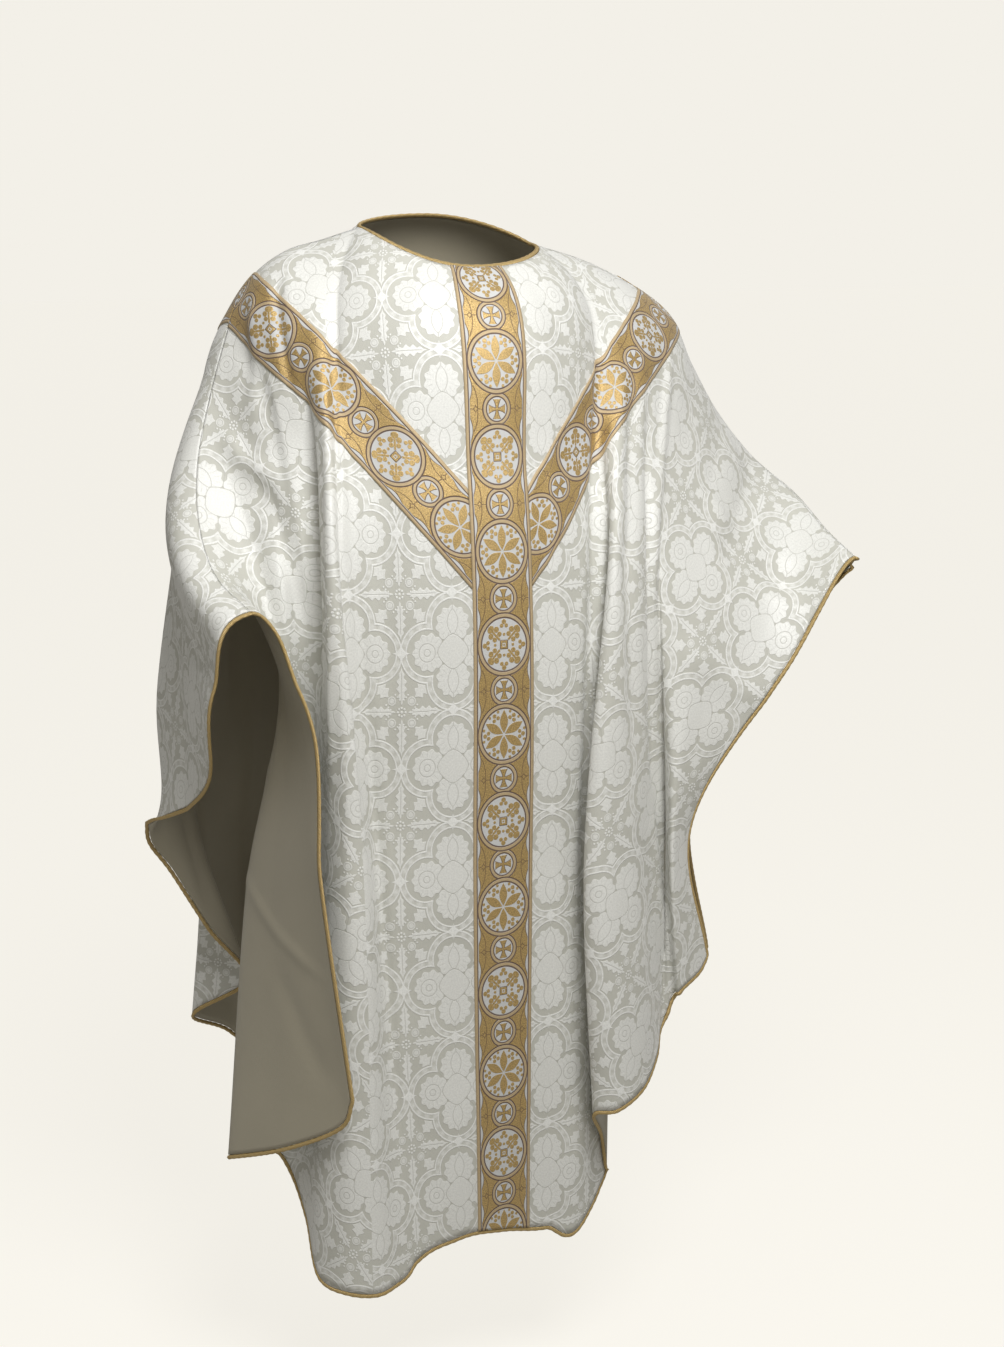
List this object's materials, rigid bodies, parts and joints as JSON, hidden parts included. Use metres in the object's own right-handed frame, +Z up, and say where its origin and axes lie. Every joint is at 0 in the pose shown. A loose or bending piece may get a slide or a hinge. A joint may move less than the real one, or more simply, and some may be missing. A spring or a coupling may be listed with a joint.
{
  "type": "gothic chasuble",
  "caption": "Full liturgical chasuble hanging as worn, with raised arms, open neck, sides and hem, Y-shaped orphrey and braided edges.",
  "frame": {"origin": "inside the neckline, level with its front, where the collar rests on the wearer's neck", "axes": "+Z up, -Y out of the front, +X to the wearer's left"},
  "size_m": [0.9152, 0.5311, 1.3689],
  "materials": {
    "damask": "ivory damask with satin motifs",
    "lining": "smooth satin lining",
    "galloon": "woven galloon with gold thread",
    "braid": "gold braid"
  },
  "bodies": {
    "root": {"front_damask": "damask", "front_lining": "lining", "front_orphrey_band": "galloon", "front_orphrey_arm_right": "galloon", "front_orphrey_arm_left": "galloon", "front_edge_braid": "braid", "front_neck_braid": "braid", "back_damask": "damask", "back_lining": "lining", "back_orphrey_band": "galloon", "back_orphrey_arm_right": "galloon", "back_orphrey_arm_left": "galloon", "back_edge_braid": "braid", "back_neck_braid": "braid"}
  },
  "joints": []
}
